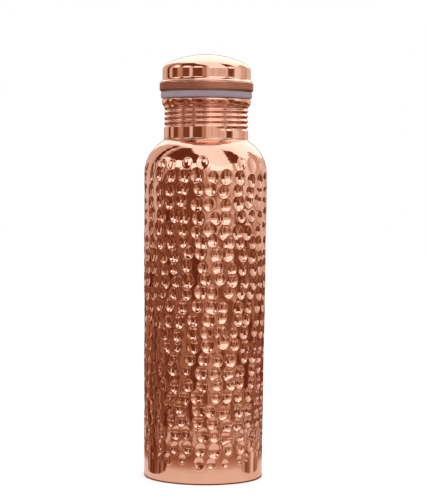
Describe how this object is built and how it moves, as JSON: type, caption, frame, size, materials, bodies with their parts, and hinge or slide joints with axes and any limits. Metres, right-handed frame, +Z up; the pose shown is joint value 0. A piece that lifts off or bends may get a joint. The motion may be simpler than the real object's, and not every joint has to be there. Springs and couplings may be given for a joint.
{
  "type": "copper water bottle",
  "caption": "Tapered hammered-copper water bottle with a rolled-thread neck and a hollow screw cap whose threaded plug seals on a silicone ring.",
  "frame": {"origin": "centre of the foot, on the surface the bottle stands on", "axes": "+Z up the bottle's axis, from the foot to the cap; +X is where the neck's thread starts"},
  "size_m": [0.077, 0.077, 0.265],
  "materials": {
    "hammered_copper": "hammered and polished copper",
    "plain_copper": "plain drawn copper, satin",
    "neck_copper": "polished copper",
    "cap_copper": "mirror-polished copper",
    "knurled_copper": "fine diamond knurl in copper",
    "filler": "dressed brazing filler",
    "silicone": "matte translucent lilac-grey silicone"
  },
  "bodies": {
    "bottle": {"body_shell": "hammered_copper", "base_pan": "plain_copper", "base_solder_ring": "filler", "neck_collar": "neck_copper", "neck_braze_ring": "filler"},
    "gasket": {"seal_ring": "silicone"},
    "cap": {"cap_crown": "cap_copper", "cap_grip_ring": "knurled_copper", "cap_plug_sleeve": "plain_copper", "cap_plug_floor": "plain_copper"}
  },
  "joints": [
    {"name": "cap_lift", "type": "slide", "parent": "bottle", "child": "gasket", "axis": [0, 0, 1], "range_m": [0, 0.0253]},
    {"name": "cap_turn", "type": "hinge", "parent": "gasket", "child": "cap", "pos_m": [0, 0, 0.2416], "axis": [0, 0, 1], "range_deg": [0, 2880]}
  ],
  "couplings": [
    {"joint": "cap_lift", "follows": "cap_turn", "m_per_rad": 0.00050134}
  ]
}
